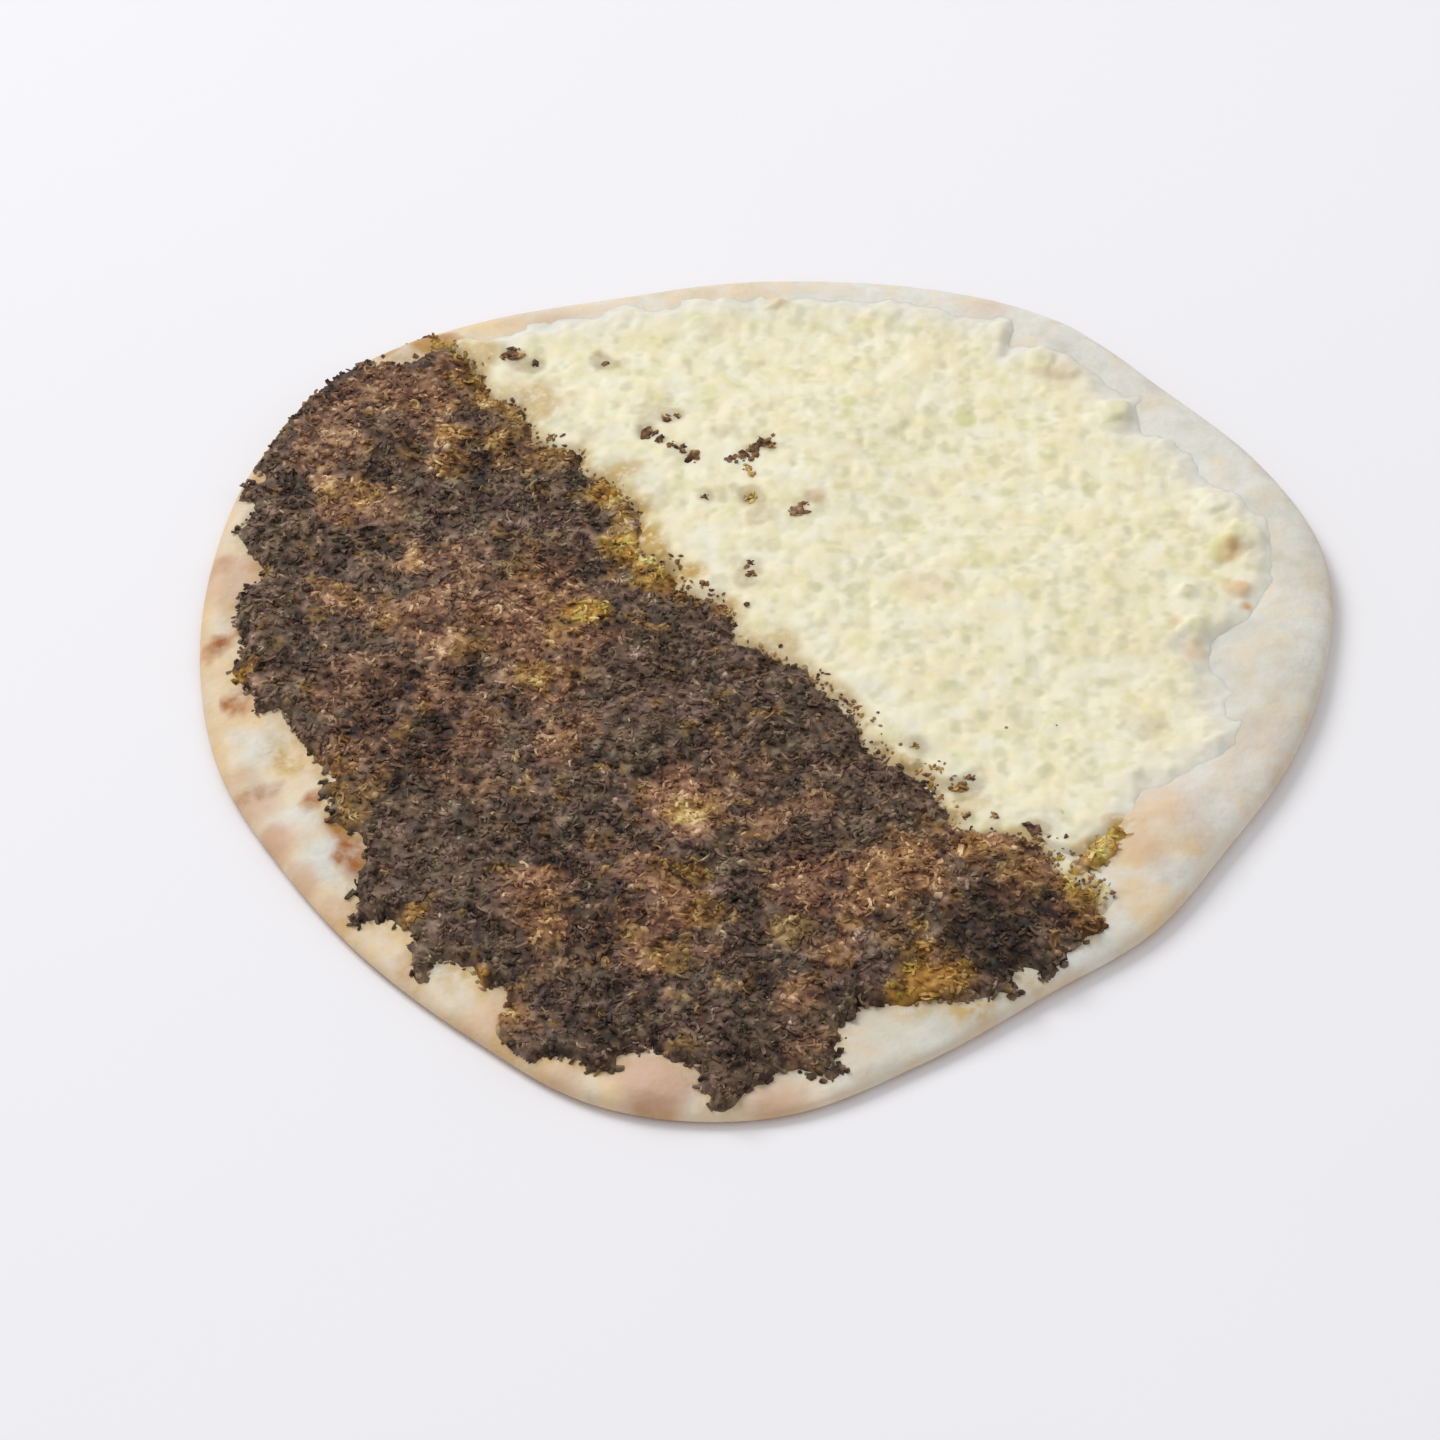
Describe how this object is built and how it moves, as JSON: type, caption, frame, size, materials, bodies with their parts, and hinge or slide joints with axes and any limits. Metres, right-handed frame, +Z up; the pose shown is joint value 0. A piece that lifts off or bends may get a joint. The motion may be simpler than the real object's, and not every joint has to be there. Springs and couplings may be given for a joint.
{
  "type": "manakish",
  "caption": "Thin round flatbread baked with dark zaatar on one half and pale crumbled white cheese on the other.",
  "frame": {"origin": "centre of the bread's outline, on the surface it rests on", "axes": "+Z up through the bread, +X towards the cheese half's right side as seen in the picture, +Y away from the viewer"},
  "size_m": [0.2639, 0.2762, 0.0112],
  "materials": {
    "dough": "pale baked dough, matte and floury, with a few faint brown spots on the rim",
    "zaatar": "dark grey-brown thyme, sumac and sesame paste, granular, with golden oily patches",
    "cheese": "pale cream baked white cheese in soft crumbly curds, slightly moist"
  },
  "bodies": {
    "root": {"flatbread": "dough", "zaatar_topping": "zaatar", "cheese_topping": "cheese"}
  },
  "joints": []
}
